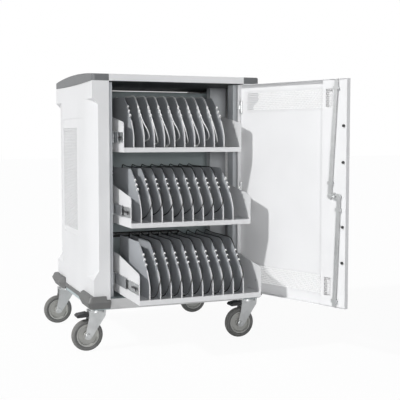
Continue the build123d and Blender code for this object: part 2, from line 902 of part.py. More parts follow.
def vent_sheets_of_door():
    """Perforated sheets behind the door's two vent windows."""
    back_of_skin = -half_depth + sheet + seat_gap
    with BuildPart() as sheets:
        for low in (door_vent_low, door_vent_high):
            window_right = door_right - door_vent_margin
            window_head = low + door_vent_height
            block(
                (stiffener_window[1] - vent_overlap, back_of_skin, low - vent_overlap),
                (window_right + vent_overlap, back_of_skin + vent_sheet, window_head + vent_overlap),
            )
    return sheets.part


def hinge_knuckles(low, high, bore):
    """A stretch of every hinge barrel round the hinge line, from low to high above its foot."""
    with BuildPart() as barrels:
        for middle in hinge_heights:
            foot = middle - knuckle_height / 2
            with BuildSketch(Plane.XY.offset(foot + low)):
                with Locations((hinge_x, hinge_y)):
                    Circle(knuckle_radius)
                    Circle(bore, mode=Mode.SUBTRACT)
            extrude(amount=high - low)
    return barrels.part


knuckle_cut = knuckle_height / 3
pin_fit = 0.06


def fixed_hinges():
    """Leaves on the jamb with the outer knuckles, and the pin through each hinge."""
    leaf_face = opening_half - seat_gap
    with BuildPart() as leaves:
        for low, high in ((0, knuckle_cut - 0.15), (2 * knuckle_cut + 0.15, knuckle_height)):
            add(hinge_knuckles(low, high, hinge_pin_radius + pin_fit))
            for middle in hinge_heights:
                foot = middle - knuckle_height / 2
                block(
                    (hinge_x + hinge_pin_radius + 1, hinge_y - 0.7, foot + low),
                    (leaf_face, hinge_y + 0.7, foot + high),
                )
        for middle in hinge_heights:
            block(
                (leaf_face - 1.2, hinge_y - 0.7, middle - knuckle_height / 2),
                (leaf_face, -half_depth + jamb_return - 1, middle + knuckle_height / 2),
            )
    return leaves.part


def hinge_pins():
    """The pins of one door's hinges."""
    with BuildPart() as pins:
        with Locations(*((hinge_x, hinge_y, middle) for middle in hinge_heights)):
            Cylinder(hinge_pin_radius, knuckle_height)
    return pins.part


def moving_hinges():
    """Middle knuckles with their leaves on the door's hinge edge."""
    leaf_face = door_right - sheet - seat_gap
    low, high = knuckle_cut + 0.15, 2 * knuckle_cut - 0.15
    with BuildPart() as leaves:
        add(hinge_knuckles(low, high, hinge_pin_radius + pin_fit))
        for middle in hinge_heights:
            foot = middle - knuckle_height / 2
            block(
                (hinge_x - 0.7, hinge_y + hinge_pin_radius + 0.6, foot + low),
                (hinge_x + 0.7, hinge_y + knuckle_radius + 3, foot + high),
            )
            block(
                (hinge_x - 0.7, hinge_y + knuckle_radius + 1.8, foot + low),
                (leaf_face, hinge_y + knuckle_radius + 3, foot + high),
            )
            block(
                (leaf_face - 1.2, hinge_y + knuckle_radius + 1.8, foot + low),
                (leaf_face, door_inner - 1, foot + high),
            )
    return leaves.part


stiffener_face = door_inner
stiffener_back = -half_depth + sheet + seat_gap + vent_sheet + seat_gap
with BuildPart() as door_stiffener:
    left = door_left + sheet + seat_gap
    block((left, stiffener_back, door_foot + 3), (stiffener_hinge_side, stiffener_face, door_head - 3))
    block(
        (left + sheet, stiffener_back - 1, door_foot),
        (stiffener_hinge_side - sheet, stiffener_face - sheet, door_head),
        mode=Mode.SUBTRACT,
    )
    for low in (door_vent_low, door_vent_high):
        block(
            (stiffener_window[1], stiffener_face - 2 * sheet, low),
            (stiffener_window[0], stiffener_face + 1, low + door_vent_height),
            mode=Mode.SUBTRACT,
        )
    with Locations(Location((lock_x, stiffener_face, lock_z), (90, 0, 0))):
        Cylinder(spindle_radius + 3, 4 * sheet, mode=Mode.SUBTRACT)

lock_case_half = (24.0, 44.0)
with BuildPart() as lock_case:
    block(
        (lock_x - lock_case_half[0], -half_depth + sheet + seat_gap, lock_z - lock_case_half[1]),
        (lock_x + lock_case_half[0], stiffener_face - sheet - seat_gap, lock_z + lock_case_half[1]),
    )
    with Locations(Location((lock_x, -half_depth, lock_z), (90, 0, 0))):
        Cylinder(spindle_radius + pin_fit, 3 * door_depth, mode=Mode.SUBTRACT)

with BuildPart() as handle_plate:
    with BuildSketch(Plane.XZ.offset(half_depth + seat_gap)):
        with Locations((lock_x, lock_z)):
            SlotOverall(handle_length + 26, 34, rotation=90)
            Circle(spindle_radius + pin_fit, mode=Mode.SUBTRACT)
    extrude(amount=3)

cam_back = stiffener_face + 0.6
with BuildPart() as door_handle:
    with BuildSketch(Plane.XZ.offset(half_depth + 3.6)):
        with Locations((lock_x, lock_z)):
            SlotOverall(handle_length, handle_width, rotation=90)
    extrude(amount=handle_proud - 4)
    fillet(door_handle.faces().sort_by(Axis.Y)[0].edges(), 5)
    with BuildSketch(Plane.XZ.offset(half_depth + 4)):
        with Locations((lock_x, lock_z)):
            Circle(spindle_radius)
    extrude(amount=-(4 + door_depth + 0.6 + cam_thickness))

with BuildPart() as lock_cam:
    with BuildSketch(Plane.XZ.offset(-cam_back)):
        with Locations((lock_x, lock_z)):
            SlotOverall(2 * cam_throw + 18, 18)
            Circle(14)
            Circle(spindle_radius + 0.02, mode=Mode.SUBTRACT)
    extrude(amount=-cam_thickness)

rod_back = cam_back + cam_thickness + 0.4


def lock_rod(start_x, end_z):
    """Flat bar from the cam to one end of the door, with an eye and a rivet at the cam."""
    run = Vector(rod_end_x - start_x, end_z - lock_z)
    middle = ((start_x + rod_end_x) / 2, (lock_z + end_z) / 2)
    angle = Vector(0, 1, 0).get_signed_angle(Vector(run.X, run.Y, 0), Vector(0, 0, 1))
    with BuildPart() as rod:
        with BuildSketch(Plane.XZ.offset(-rod_back)):
            with Locations(Location((middle[0], middle[1], 0), (0, 0, 90 + angle))):
                SlotCenterToCenter(run.length, rod_width)
            with Locations((start_x, lock_z)):
                Circle(rod_width / 2 + 2.5)
        extrude(amount=-rod_thickness)
        with BuildSketch(Plane.XZ.offset(-rod_back - rod_thickness)):
            with Locations((start_x, lock_z)):
                Circle(5)
        extrude(amount=-1.6)
    return rod.part


upper_rod = lock_rod(lock_x + cam_throw, upper_rod_end)
lower_rod = lock_rod(lock_x - cam_throw, lower_rod_end)

guide_heights = (
    ceiling_level - guide_end_margins[0],
    lock_z + guide_from_lock,
    lock_z - guide_from_lock,
    floor_level + guide_end_margins[1],
)
with BuildPart() as rod_guides:
    for level in guide_heights:
        upper = level > lock_z
        start_x = lock_x + (cam_throw if upper else -cam_throw)
        end_z = upper_rod_end if upper else lower_rod_end
        share = (level - lock_z) / (end_z - lock_z)
        x = start_x + share * (rod_end_x - start_x)
        block(
            (x - rod_width / 2 - 5, stiffener_face + seat_gap, level - 6),
            (x + rod_width / 2 + 5, rod_back + rod_thickness + 2.2, level + 6),
        )
        block(
            (x - rod_width / 2 - 2, cam_back - 0.2, level - 7),
            (x + rod_width / 2 + 2, rod_back + rod_thickness + 0.7, level + 7),
            mode=Mode.SUBTRACT,
        )

with BuildPart() as door_buffers:
    for level in buffer_heights:
        with BuildSketch(Plane.XZ.offset(-stiffener_face - seat_gap)):
            with Locations((buffer_x, level)):
                Circle(buffer_radius)
        extrude(amount=-buffer_height)

turn_open = Location((0, 0, 0), (0, 0, door_open))
swing = Location((hinge_x, hinge_y, 0)) * turn_open * Location((-hinge_x, -hinge_y, 0))
front_door_pieces = {
    "front_door": door_shell(lock_x, spindle_radius + 2),
    "door_vent_sheets": vent_sheets_of_door(),
    "door_hinge_leaves": moving_hinges(),
    "door_stiffener": door_stiffener.part,
    "lock_case": lock_case.part,
    "handle_plate": handle_plate.part,
    "door_handle": door_handle.part,
    "lock_cam": lock_cam.part,
    "upper_rod": upper_rod,
    "lower_rod": lower_rod,
    "rod_guides": rod_guides.part,
    "door_buffers": door_buffers.part,
}
for name, part in front_door_pieces.items():
    keep(name, part.moved(swing))

with BuildPart() as jamb_hinges:
    add(fixed_hinges())
    mirror(about=Plane.XZ)
keep("jamb_hinges", jamb_hinges.part)

with BuildPart() as all_hinge_pins:
    add(hinge_pins())
    mirror(about=Plane.XZ)
keep("hinge_pins", all_hinge_pins.part)

rear_lock_x = door_left + 32.0
rear_lock_radius = 9.0
keep("rear_door", mirrored(door_shell(rear_lock_x, rear_lock_radius + seat_gap), Plane.XZ))
keep("rear_door_vents", mirrored(vent_sheets_of_door(), Plane.XZ))
keep("rear_door_leaves", mirrored(moving_hinges(), Plane.XZ))

with BuildPart() as rear_door_lock:
    with BuildSketch(Plane.XZ.offset(-half_depth - seat_gap)):
        with Locations((rear_lock_x, lock_z)):
            Circle(rear_lock_radius)
    extrude(amount=16)
    with BuildSketch(Plane.XZ.offset(-half_depth - seat_gap)):
        with Locations((rear_lock_x, lock_z)):
            Circle(rear_lock_radius + 4)
            Rectangle(2, 9, mode=Mode.SUBTRACT)
    extrude(amount=-4)
keep("rear_door_lock", rear_door_lock.part)


# Casters: bolted head, swivelling fork and wheel, trailing to the left as they last rolled

caster_places = {
    "front_left": (-caster_x, -caster_y),
    "front_right": (caster_x, -caster_y),
    "rear_left": (-caster_x, caster_y),
    "rear_right": (caster_x, caster_y),
}
fork_half = wheel_width / 2 + 3.0

with BuildPart() as caster_heads:
    for x, y in caster_places.values():
        with BuildSketch(Plane.XY.offset(fork_top + 0.3)):
            with Locations((x, y)):
                Circle(caster_head_radius - 4)
        extrude(amount=base_foot - fork_top - 0.3)
keep("caster_heads", caster_heads.part)


def caster_fork(x, y):
    """Pressed fork: a round crown over the wheel and two tapered legs that trail to the axle."""
    axle = (x - caster_trail, wheel_radius)
    with BuildPart() as fork:
        with BuildSketch(Plane.XZ.offset(-y)):
            with BuildLine():
                Polyline(
                    (x + caster_head_radius, fork_top),
                    (x + caster_head_radius - 2, fork_top - 22),
                    (axle[0] + 14, wheel_radius - 8),
                )
                ThreePointArc(
                    (axle[0] + 14, wheel_radius - 8), (axle[0], wheel_radius - 16), (axle[0] - 14, wheel_radius - 8)
                )
                Polyline(
                    (axle[0] - 14, wheel_radius - 8),
                    (x - caster_head_radius, fork_top - 26),
                    (x - caster_head_radius, fork_top),
                    (x + caster_head_radius, fork_top),
                )
            make_face()
        extrude(amount=fork_half + fork_sheet, both=True)
        block(
            (x - 3 * caster_head_radius, y - fork_half, 0),
            (x + 3 * caster_head_radius, y + fork_half, fork_top - fork_sheet - 4),
            mode=Mode.SUBTRACT,
        )
        with BuildSketch(Plane.XY.offset(fork_top - 8)):
            with Locations((x, y)):
                Circle(caster_head_radius)
        extrude(amount=8)
        with Locations(Location((axle[0], y, axle[1]), (90, 0, 0))):
            Cylinder(axle_radius, 2 * (fork_half + fork_sheet + 4))
            Cylinder(axle_radius + 4, 2 * (fork_half + fork_sheet + 3.5))
            Cylinder(axle_radius + 5, 2 * fork_half, mode=Mode.SUBTRACT)
            Cylinder(axle_radius, 2 * fork_half + 1)
    return fork.part


def caster_wheel(x, y):
    """Tyre and hub, turned about the axle, with a dished web and a raised rim on each side."""
    half = wheel_width / 2
    hub_half = fork_half - 0.5
    bore = axle_radius + 0.1
    with BuildPart() as tyre:
        with BuildSketch(Plane.XZ):
            with BuildLine():
                Polyline(
                    (wheel_core_radius + 0.05, -half + 3),
                    (wheel_radius - 9, -half),
                    (wheel_radius - 3, -half + 5),
                )
                ThreePointArc(
                    (wheel_radius - 3, -half + 5), (wheel_radius, 0), (wheel_radius - 3, half - 5)
                )
                Polyline(
                    (wheel_radius - 3, half - 5),
                    (wheel_radius - 9, half),
                    (wheel_core_radius + 0.05, half - 3),
                    (wheel_core_radius + 0.05, -half + 3),
                )
            make_face()
        revolve(axis=Axis.Z)
    with BuildPart() as hub:
        with BuildSketch(Plane.XZ):
            with BuildLine():
                Polyline(
                    (bore, -hub_half),
                    (14, -hub_half),
                    (18, -5),
                    (wheel_core_radius - 9, -5),
                    (wheel_core_radius - 5, -half + 2),
                    (wheel_core_radius, -half + 2),
                    (wheel_core_radius, half - 2),
                    (wheel_core_radius - 5, half - 2),
                    (wheel_core_radius - 9, 5),
                    (18, 5),
                    (14, hub_half),
                    (bore, hub_half),
                    close=True,
                )
            make_face()
        revolve(axis=Axis.Z)
    place = Location((x - caster_trail, y, wheel_radius), (90, 0, 0))
    return Compound(children=[tyre.part.moved(place), hub.part.moved(place)])


brake_pivot_run = 42.2
brake_pivot_drop = 16.0
brake_eye_radius = 7.8
brake_reach = 42.0
brake_droop = 6.0


def brake_pedal(x, y):
    """Foot pedal on the trailing side of the fork, above the tread, with its pivot eye."""
    pivot = (x - brake_pivot_run, fork_top - brake_pivot_drop)
    tip = (pivot[0] - brake_reach, pivot[1] - brake_droop)
    with BuildPart() as pedal:
        with BuildSketch(Plane.XZ.offset(-y)):
            with Locations(pivot):
                Circle(brake_eye_radius)
            with BuildLine():
                Polyline(
                    (pivot[0], pivot[1] + brake_eye_radius),
                    (tip[0] + 8, tip[1] + 9),
                    (tip[0], tip[1] + 2),
                    (tip[0] + 4, tip[1] - 4),
                    (pivot[0], pivot[1] - brake_eye_radius),
                    close=True,
                )
            make_face()
        extrude(amount=fork_half + 4, both=True)
    return pedal.part


for name, (x, y) in caster_places.items():
    keep(f"{name}_fork", caster_fork(x, y))
    keep(f"{name}_wheel", caster_wheel(x, y))
    if name.startswith("front"):
        keep(f"{name}_brake", brake_pedal(x, y))


# Origin: the middle of the floor area that the open trolley covers

whole = Compound(children=[Compound(part.solids()) for part in pieces.values()]).bounding_box()
to_origin = Location((-(whole.min.X + whole.max.X) / 2, -(whole.min.Y + whole.max.Y) / 2, 0))
for name, part in pieces.items():
    placed = part.moved(to_origin)
    placed.label = name
    export_step(placed, f"parts/{name}.step")
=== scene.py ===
import json
from math import cos, pi, radians, sin

import bmesh
import bpy
from mathutils import Matrix, Vector


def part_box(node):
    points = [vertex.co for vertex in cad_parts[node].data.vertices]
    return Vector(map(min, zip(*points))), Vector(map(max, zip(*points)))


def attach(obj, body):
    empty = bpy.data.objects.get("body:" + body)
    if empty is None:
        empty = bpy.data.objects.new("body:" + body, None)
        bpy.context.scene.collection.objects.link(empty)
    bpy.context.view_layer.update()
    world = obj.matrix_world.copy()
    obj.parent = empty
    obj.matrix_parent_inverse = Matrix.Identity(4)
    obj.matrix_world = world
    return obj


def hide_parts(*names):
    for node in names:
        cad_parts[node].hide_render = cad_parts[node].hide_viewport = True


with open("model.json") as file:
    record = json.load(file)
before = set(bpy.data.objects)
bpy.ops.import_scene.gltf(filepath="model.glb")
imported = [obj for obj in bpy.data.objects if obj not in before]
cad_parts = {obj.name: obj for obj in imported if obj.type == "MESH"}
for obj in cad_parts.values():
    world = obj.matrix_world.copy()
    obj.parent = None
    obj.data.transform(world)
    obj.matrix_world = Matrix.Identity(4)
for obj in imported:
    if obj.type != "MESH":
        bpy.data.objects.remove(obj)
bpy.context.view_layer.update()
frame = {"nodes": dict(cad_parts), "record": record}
nodes = frame["nodes"]
joints = {joint["name"]: joint for joint in frame["record"]["behaviour"]["joints"]}

# Lengths are in metres. The camera's place is counted from the cabinet's middle on the floor.
top_low, top_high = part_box("top_panel")
centre = Vector(((top_low.x + top_high.x) / 2, (top_low.y + top_high.y) / 2, 0))
MM = 0.001
DOOR_OPEN = radians(110.4)
DIVIDER_PITCH = 0.0414
DIVIDER_COUNT = 10
DIVIDER_FOOT = 0.006
TRAYS = ("top", "middle", "bottom")
CASTERS = ("front_left", "front_right", "rear_left", "rear_right")


# Camera, fitted to the photograph

CAMERA_PLACE = Vector((-1.1545, -3.5062, 0.8347))
CAMERA_TURN = 21.385
CAMERA_DROP = 4.204
CAMERA_LENS = 76.92
CAMERA_SENSOR = 36

camera_data = bpy.data.cameras.new("camera")
camera_data.lens = CAMERA_LENS
camera_data.sensor_width = CAMERA_SENSOR
camera = bpy.data.objects.new("camera", camera_data)
camera.location = centre + CAMERA_PLACE
camera.rotation_euler = (radians(90 - CAMERA_DROP), 0, radians(-CAMERA_TURN))
bpy.context.collection.objects.link(camera)
bpy.context.scene.camera = camera
bpy.context.scene.view_settings.view_transform = "Standard"


# Materials


class Wire:
    """A socket in a node tree that can be used in arithmetic."""

    def __init__(self, network, socket):
        self.network = network
        self.socket = socket

    def maths(self, operation, *values):
        settings = {"operation": operation, "use_clamp": False}
        return self.network.node("ShaderNodeMath", settings, dict(enumerate(values)))

    def __add__(self, other):
        return self.maths("ADD", self, other)

    __radd__ = __add__

    def __mul__(self, other):
        return self.maths("MULTIPLY", self, other)

    __rmul__ = __mul__

    def __sub__(self, other):
        return self.maths("SUBTRACT", self, other)

    def __rsub__(self, other):
        return self.maths("SUBTRACT", other, self)

    def over(self, edge, softness):
        """0 well below the edge and 1 well above it, with a soft step between."""
        settings = {"interpolation_type": "SMOOTHSTEP"}
        values = {"Value": self, "From Min": edge - softness, "From Max": edge + softness}
        return self.network.node("ShaderNodeMapRange", settings, values)


class Network:
    """The nodes of a material or of the world, being made."""

    def __init__(self, tree):
        self.tree = tree

    def node(self, kind, settings, values, output=0):
        made = self.tree.nodes.new(kind)
        for setting, value in settings.items():
            setattr(made, setting, value)
        for socket, value in values.items():
            if isinstance(value, Wire):
                self.tree.links.new(value.socket, made.inputs[socket])
            else:
                made.inputs[socket].default_value = value
        return Wire(self, made.outputs[output])

    def show(self, wire, output):
        """Makes a shader what the output node shows."""
        self.tree.links.new(wire.socket, self.tree.nodes[output].inputs["Surface"])


class Finish(Network):
    """A material being made, with its main shader."""

    def __init__(self, name, colour, roughness, metallic=0.0):
        self.material = bpy.data.materials.new(name)
        self.material.use_nodes = True
        super().__init__(self.material.node_tree)
        self.shader = self.tree.nodes["Principled BSDF"]
        self.shader.inputs["Base Color"].default_value = (*colour, 1)
        self.shader.inputs["Roughness"].default_value = roughness
        self.shader.inputs["Metallic"].default_value = metallic
        self.place = self.node("ShaderNodeTexCoord", {}, {}, "Object")

    def feed(self, socket, wire):
        self.tree.links.new(wire.socket, self.shader.inputs[socket])

    def noise(self, scale, detail, place=None):
        values = {"Vector": place or self.place, "Scale": scale, "Detail": detail}
        return self.node("ShaderNodeTexNoise", {"noise_dimensions": "3D"}, values, "Fac")

    def stretched(self, scale, centre=(0, 0, 0)):
        """Object coordinates counted from a centre and stretched along the axes."""
        start = [-middle * share for middle, share in zip(centre, scale)]
        values = {"Vector": self.place, "Location": start, "Scale": scale}
        return self.node("ShaderNodeMapping", {"vector_type": "POINT"}, values)

    def blend(self, mask, first, second):
        """A colour between two, by a mask from 0 to 1."""
        values = {0: mask}
        for socket, colour in ((6, first), (7, second)):
            values[socket] = colour if isinstance(colour, Wire) else (*colour, 1)
        return self.node("ShaderNodeMix", {"data_type": "RGBA"}, values, 2)

    def relief(self, height, distance, strength):
        values = {"Height": height, "Distance": distance, "Strength": strength}
        self.feed("Normal", self.node("ShaderNodeBump", {}, values))


def tinted(colour, factor):
    return tuple(min(1.0, c * factor) for c in colour)


def powder_coat(name, colour, roughness=0.42):
    """Satin paint with the fine orange peel of baked powder, and faint clouding."""
    finish = Finish(name, colour, roughness)
    clouds = finish.noise(5, 2).over(0.5, 0.25)
    finish.feed("Base Color", finish.blend(clouds, tinted(colour, 0.975), tinted(colour, 1.015)))
    peel = finish.noise(520, 2)
    finish.feed("Roughness", roughness - 0.05 + 0.1 * peel)
    finish.relief(peel + 0.35 * finish.noise(1500, 1), 0.00012, 0.45)
    return finish.material


def moulding(name, colour, roughness):
    """Injection-moulded plastic with a fine spark-eroded grain."""
    finish = Finish(name, colour, roughness)
    fine = finish.noise(900, 3)
    scuffs = finish.noise(24, 4).over(0.66, 0.06)
    finish.feed("Base Color", finish.blend(scuffs * 0.35, colour, tinted(colour, 1.35)))
    finish.feed("Roughness", roughness - 0.08 + 0.16 * fine + 0.08 * scuffs)
    finish.relief(fine, 0.0002, 0.4)
    return finish.material


def zinc_plate(name, colour=(0.60, 0.61, 0.61), roughness=0.34):
    """Bright zinc over rolled steel: faint drawing lines and cloudy passivation."""
    finish = Finish(name, colour, roughness, metallic=1.0)
    drawn = finish.noise(260, 2, finish.stretched((1.0, 0.05, 1.0)))
    clouds = finish.noise(38, 3)
    finish.feed("Base Color", finish.blend(clouds, tinted(colour, 0.82), tinted(colour, 1.18)))
    finish.feed("Roughness", roughness - 0.1 + 0.16 * drawn + 0.08 * clouds)
    finish.relief(drawn, 0.00006, 0.5)
    return finish.material


def rubber(name, colour, roughness=0.62):
    """Rubber or soft sheath with a dusty bloom."""
    finish = Finish(name, colour, roughness)
    bloom = finish.noise(70, 4).over(0.55, 0.2)
    finish.feed("Base Color", finish.blend(bloom * 0.5, colour, tuple(1.1 * c + 0.012 for c in colour)))
    finish.feed("Roughness", roughness + 0.1 * bloom)
    finish.relief(finish.noise(1100, 2), 0.0001, 0.35)
    return finish.material


HUB_RADIUS = 0.045
HUB_JOINT = 0.0022
BORE_RADIUS = 0.0145
WHEEL_RADIUS = 0.0625
TREAD_WEAR = 0.002


def wheel_finish(name, axle):
    """Grey tyre with worn tread, round a lighter moulded hub with a dark joint line and bore."""
    finish = Finish(name, (0.22, 0.22, 0.21), 0.6)
    flat = finish.stretched((1, 0, 1), axle)
    radius = finish.node("ShaderNodeVectorMath", {"operation": "LENGTH"}, {0: flat}, "Value")
    tyre = radius.over(HUB_RADIUS, 0.0006)
    joint = tyre * (1 - radius.over(HUB_RADIUS + HUB_JOINT, 0.0005))
    worn = radius.over(WHEEL_RADIUS - TREAD_WEAR, TREAD_WEAR) * finish.noise(45, 4)
    bore = 1 - radius.over(BORE_RADIUS, 0.0008)
    colour = finish.blend(tyre, (0.40, 0.40, 0.38), (0.15, 0.15, 0.145))
    colour = finish.blend(joint * 0.7, colour, (0.07, 0.07, 0.07))
    colour = finish.blend(worn * 0.6, colour, (0.30, 0.29, 0.27))
    finish.feed("Base Color", finish.blend(bore * 0.6, colour, (0.12, 0.12, 0.12)))
    finish.feed("Roughness", 0.5 + 0.16 * tyre + 0.1 * finish.noise(120, 3))
    finish.relief(finish.noise(700, 3), 0.00018, 0.5)
    return finish.material


WHITE = (0.74, 0.74, 0.745)
white_coat = powder_coat("white_powder_coat", WHITE)
grey_coat = powder_coat("grey_powder_coat", (0.52, 0.52, 0.52))
post_coat = powder_coat("post_coat", (0.62, 0.64, 0.66))
inner_coat = powder_coat("dark_interior", (0.42, 0.48, 0.49), 0.5)
# Painted shade: the ceiling panel is coloured near-black to stand in for the shade under the top of the
# cabinet.
ceiling_painted_shade = powder_coat("ceiling_painted_shade", (0.03, 0.032, 0.035), 0.5)
divider_coat = powder_coat("divider_grey", (0.40, 0.415, 0.435), 0.45)
cap_moulding = moulding("grey_moulding", (0.145, 0.15, 0.155), 0.38)
bumper_moulding = moulding("bumper_moulding", (0.14, 0.14, 0.138), 0.5)
# Pale colour for the strips that paint a highlight on the dividers' lit front edges.
edge_highlight_paint = moulding("edge_highlight_paint", (0.72, 0.72, 0.72), 0.45)
clip_moulding = moulding("clip_moulding", (0.84, 0.84, 0.83), 0.4)
black_moulding = moulding("black_plastic", (0.022, 0.022, 0.024), 0.42)
handle_moulding = moulding("handle_moulding", (0.40, 0.41, 0.42), 0.38)
zinc = zinc_plate("zinc")
dull_zinc = zinc_plate("dull_zinc", (0.42, 0.43, 0.44), 0.42)
black_rubber = rubber("black_rubber", (0.02, 0.02, 0.02))
black_sheath = rubber("lead_black", (0.007, 0.007, 0.008), 0.42)
white_sheath = rubber("lead_white", (0.78, 0.78, 0.77), 0.42)


def coat(material, *names):
    for name in names:
        node = nodes[name]
        node.data.materials.clear()
        node.data.materials.append(material)


coat(white_coat, "left_side_panel", "right_side_panel", "top_panel", "front_door", "door_stiffener")
coat(white_coat, "rear_door", *(f"{tray}_tray" for tray in TRAYS))
coat(grey_coat, "base_fascias")
coat(post_coat, "uprights")
coat(inner_coat, "base_pan", "bulkhead")
coat(ceiling_painted_shade, "ceiling_panel")
coat(cap_moulding, "left_top_cap", "right_top_cap")
coat(bumper_moulding, "base_bumpers")
coat(divider_coat, *(f"{tray}_dividers" for tray in TRAYS))
coat(black_rubber, "slot_trims", "door_buffers")
coat(black_moulding, "power_strips", "power_inlet", "front_left_brake", "front_right_brake")
coat(handle_moulding, "door_handle", "handle_plate")
coat(zinc, "jamb_hinges", "hinge_pins", "door_hinge_leaves", "rear_door_leaves", "rear_door_lock")
coat(zinc, "lock_cam", "upper_rod", "lower_rod", "rod_guides", "lock_case", "caster_heads")
coat(dull_zinc, "slide_outers", *(f"{tray}_slide_middles" for tray in TRAYS))
coat(zinc, *(f"{tray}_slide_inners" for tray in TRAYS))
for place in CASTERS:
    coat(zinc, f"{place}_fork")
    axle = joints[f"{place}_wheel_spin"]["pos_m"]
    coat(wheel_finish(f"{place}_wheel_grey", axle), f"{place}_wheel")


# Making pieces


def piece(name, bm, body, slot, *materials):
    """Turns a bmesh into a piece that rides on a body."""
    mesh = bpy.data.meshes.new(name)
    bm.to_mesh(mesh)
    bm.free()
    for material in materials:
        mesh.materials.append(material)
    made = bpy.data.objects.new(name, mesh)
    bpy.context.collection.objects.link(made)
    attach(made, body)
    return made


def put(bm, template, matrix, material=None):
    """Adds a transformed copy of a template to a bmesh."""
    mesh = bpy.data.meshes.new("template")
    template.to_mesh(mesh)
    mesh.transform(matrix)
    before = len(bm.faces)
    bm.from_mesh(mesh)
    bpy.data.meshes.remove(mesh)
    if material is not None:
        bm.faces.ensure_lookup_table()
        for face in bm.faces[before:]:
            face.material_index = material


def bar(bm, low, high, rounding=0.0, material=0):
    """A box between two corners with rounded edges."""
    part = bmesh.new()
    bmesh.ops.create_cube(part, size=1)
    size = Vector(high) - Vector(low)
    middle = (Vector(high) + Vector(low)) / 2
    bmesh.ops.scale(part, vec=size, verts=part.verts)
    if rounding:
        bmesh.ops.bevel(
            part, geom=part.edges[:], offset=rounding, segments=2, profile=0.5, affect="EDGES", material=-1
        )
    put(bm, part, Matrix.Translation(middle), material)
    part.free()


def bar_on_axis(bm, sides, ends, rounding, material=0):
    """A rounded box round the Z axis, given half its width and depth, and its two ends."""
    width, depth = sides
    low, high = ends
    bar(bm, (-width, -depth, low), (width, depth, high), rounding, material)


# A screw head's sizes as shares of its radius
SCREW_CROWN = 0.72
SCREW_HEIGHT = 0.5
SOCKET_RIM = 0.28
SOCKET_DEPTH = 0.3


def screw_template(radius, sides=14):
    """A tapered head with a sunk middle, standing on the XY plane."""
    head = bmesh.new()
    bmesh.ops.create_cone(
        head,
        cap_ends=True,
        segments=sides,
        radius1=radius,
        radius2=SCREW_CROWN * radius,
        depth=SCREW_HEIGHT * radius,
    )
    top = max(head.faces, key=lambda face: face.calc_center_median().z)
    bmesh.ops.inset_region(head, faces=[top], thickness=SOCKET_RIM * radius)
    bmesh.ops.translate(head, vec=(0, 0, -SOCKET_DEPTH * radius), verts=top.verts)
    bmesh.ops.translate(head, vec=(0, 0, SCREW_HEIGHT / 2 * radius), verts=head.verts)
    return head


def facing(place, normal):
    """The transform that stands a template on a surface."""
    turn = Vector(normal).to_track_quat("Z", "Y").to_matrix().to_4x4()
    return Matrix.Translation(place) @ turn


# The front door's pieces are laid out as if it were shut, and then swung with it.
hinge_line = Vector(joints["front_door_hinge"]["pos_m"])
swing = (
    Matrix.Translation(hinge_line)
    @ Matrix.Rotation(DOOR_OPEN, 4, "Z")
    @ Matrix.Translation(-hinge_line)
)


def shut_box(name):
    """Corners of a front door node with the door shut."""
    back = swing.inverted()
    points = [back @ vertex.co for vertex in nodes[name].data.vertices]
    low = Vector(tuple(min(point[axis] for point in points) for axis in range(3)))
    high = Vector(tuple(max(point[axis] for point in points) for axis in range(3)))
    return low, high


# Perforated sheets behind the vent windows

HOLE_PITCH = 0.0072
HOLE_RADIUS = 0.0026
VENT_SHEET = 0.001
PLAIN_FRONT = 0.075
PLAIN_FOOT = 0.03
PLAIN_HEAD = 0.045
DOOR_SHEET_HEIGHT = 0.083
MERGE_DISTANCE = 1e-5


def perforated(width, height):
    """A sheet in the XZ plane with staggered six-sided holes, its lower left corner at the origin."""
    row = HOLE_PITCH * sin(pi / 3)
    across = int(width / HOLE_PITCH)
    up = int(height / (2 * row))
    cell = bmesh.new()
    for shift, level in ((0, 0), (HOLE_PITCH / 2, row)):
        middle = Vector((shift + HOLE_PITCH / 2, 0, level + row / 2))
        corners = [(-0.5, -0.5), (0, -0.5), (0.5, -0.5), (0.5, 0.5), (0, 0.5), (-0.5, 0.5)]
        outer = [cell.verts.new(middle + Vector((x * HOLE_PITCH, 0, z * row))) for x, z in corners]
        turns = [radians(210 + 60 * k) for k in range(6)]
        rim = [
            cell.verts.new(middle + HOLE_RADIUS * Vector((cos(turn), 0, sin(turn)))) for turn in turns
        ]
        for k in range(6):
            cell.faces.new((outer[k], outer[(k + 1) % 6], rim[(k + 1) % 6], rim[k]))
    mesh = bpy.data.meshes.new("cell")
    cell.to_mesh(mesh)
    cell.free()
    holder = bpy.data.objects.new("cell", mesh)
    bpy.context.collection.objects.link(holder)
    for count, step in ((across, (HOLE_PITCH, 0, 0)), (up, (0, 0, 2 * row))):
        array = holder.modifiers.new("array", "ARRAY")
        array.count = count
        array.use_relative_offset = False
        array.use_constant_offset = True
        array.constant_offset_displace = step
        array.use_merge_vertices = True
        array.merge_threshold = MERGE_DISTANCE
    thicken = holder.modifiers.new("thicken", "SOLIDIFY")
    thicken.thickness = VENT_SHEET
    thicken.offset = -1
    depsgraph = bpy.context.evaluated_depsgraph_get()
    sheet = bmesh.new()
    sheet.from_mesh(holder.evaluated_get(depsgraph).to_mesh())
    bpy.data.objects.remove(holder)
    bmesh.ops.scale(
        sheet,
        vec=(width / ((across + 0.5) * HOLE_PITCH), 1, height / (2 * up * row)),
        verts=sheet.verts,
    )
    return sheet


def upright_sheet(bm, sheet, corner, across, outward):
    """Adds a sheet with its corner and its two directions given."""
    columns = Matrix((across, outward, (0, 0, 1))).transposed().to_4x4()
    put(bm, sheet, Matrix.Translation(corner) @ columns)


